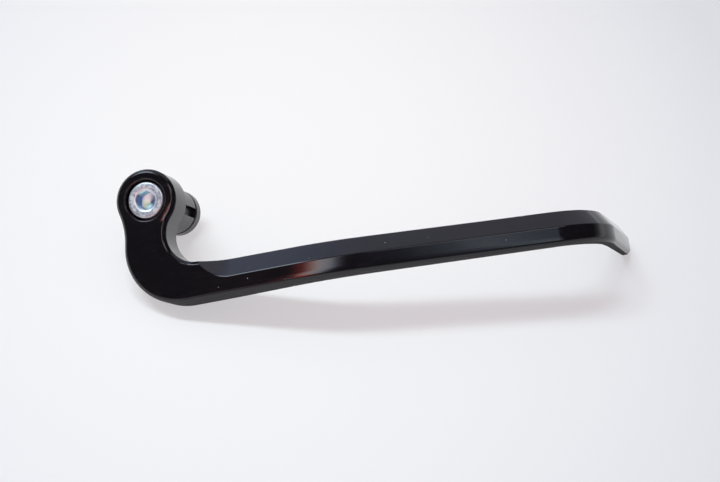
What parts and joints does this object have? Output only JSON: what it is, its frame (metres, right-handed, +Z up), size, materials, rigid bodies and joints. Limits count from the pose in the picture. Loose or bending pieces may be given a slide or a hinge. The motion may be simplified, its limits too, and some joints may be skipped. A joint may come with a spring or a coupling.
{
  "type": "brake lever guard",
  "caption": "Brake lever guard: a bent, bevelled arm ahead of the lever, held by a screw-expanded split insert that clamps inside the open end of a motorcycle handlebar.",
  "frame": {"origin": "middle of the eye's back face, on the axis of the insert, where the end of the handlebar meets the guard", "axes": "as the guard lies on a table: +Z up, +X along the blade towards its tail, -Y towards the front face of the blade"},
  "size_m": [0.1878, 0.0685, 0.0408],
  "materials": {
    "arm": "black anodised, satin",
    "insert": "dark anodised, turned",
    "bolt": "bright zinc plated"
  },
  "bodies": {
    "guard": {"guard_arm": "arm", "expander_sleeve": "insert"},
    "bolt": {"clamp_bolt": "bolt"},
    "cone": {"cone_nut": "insert"}
  },
  "joints": [
    {"name": "bolt_turn", "type": "hinge", "parent": "guard", "child": "bolt", "pos_m": [0, 0, 0], "axis": [0.2703, 0.6756, -0.6859], "range_deg": [0, 144]},
    {"name": "cone_draw", "type": "slide", "parent": "guard", "child": "cone", "axis": [-0.2703, -0.6756, 0.6859], "range_m": [0, 0.0005]}
  ],
  "couplings": [
    {"joint": "cone_draw", "follows": "bolt_turn", "m_per_rad": 0.00019894}
  ]
}
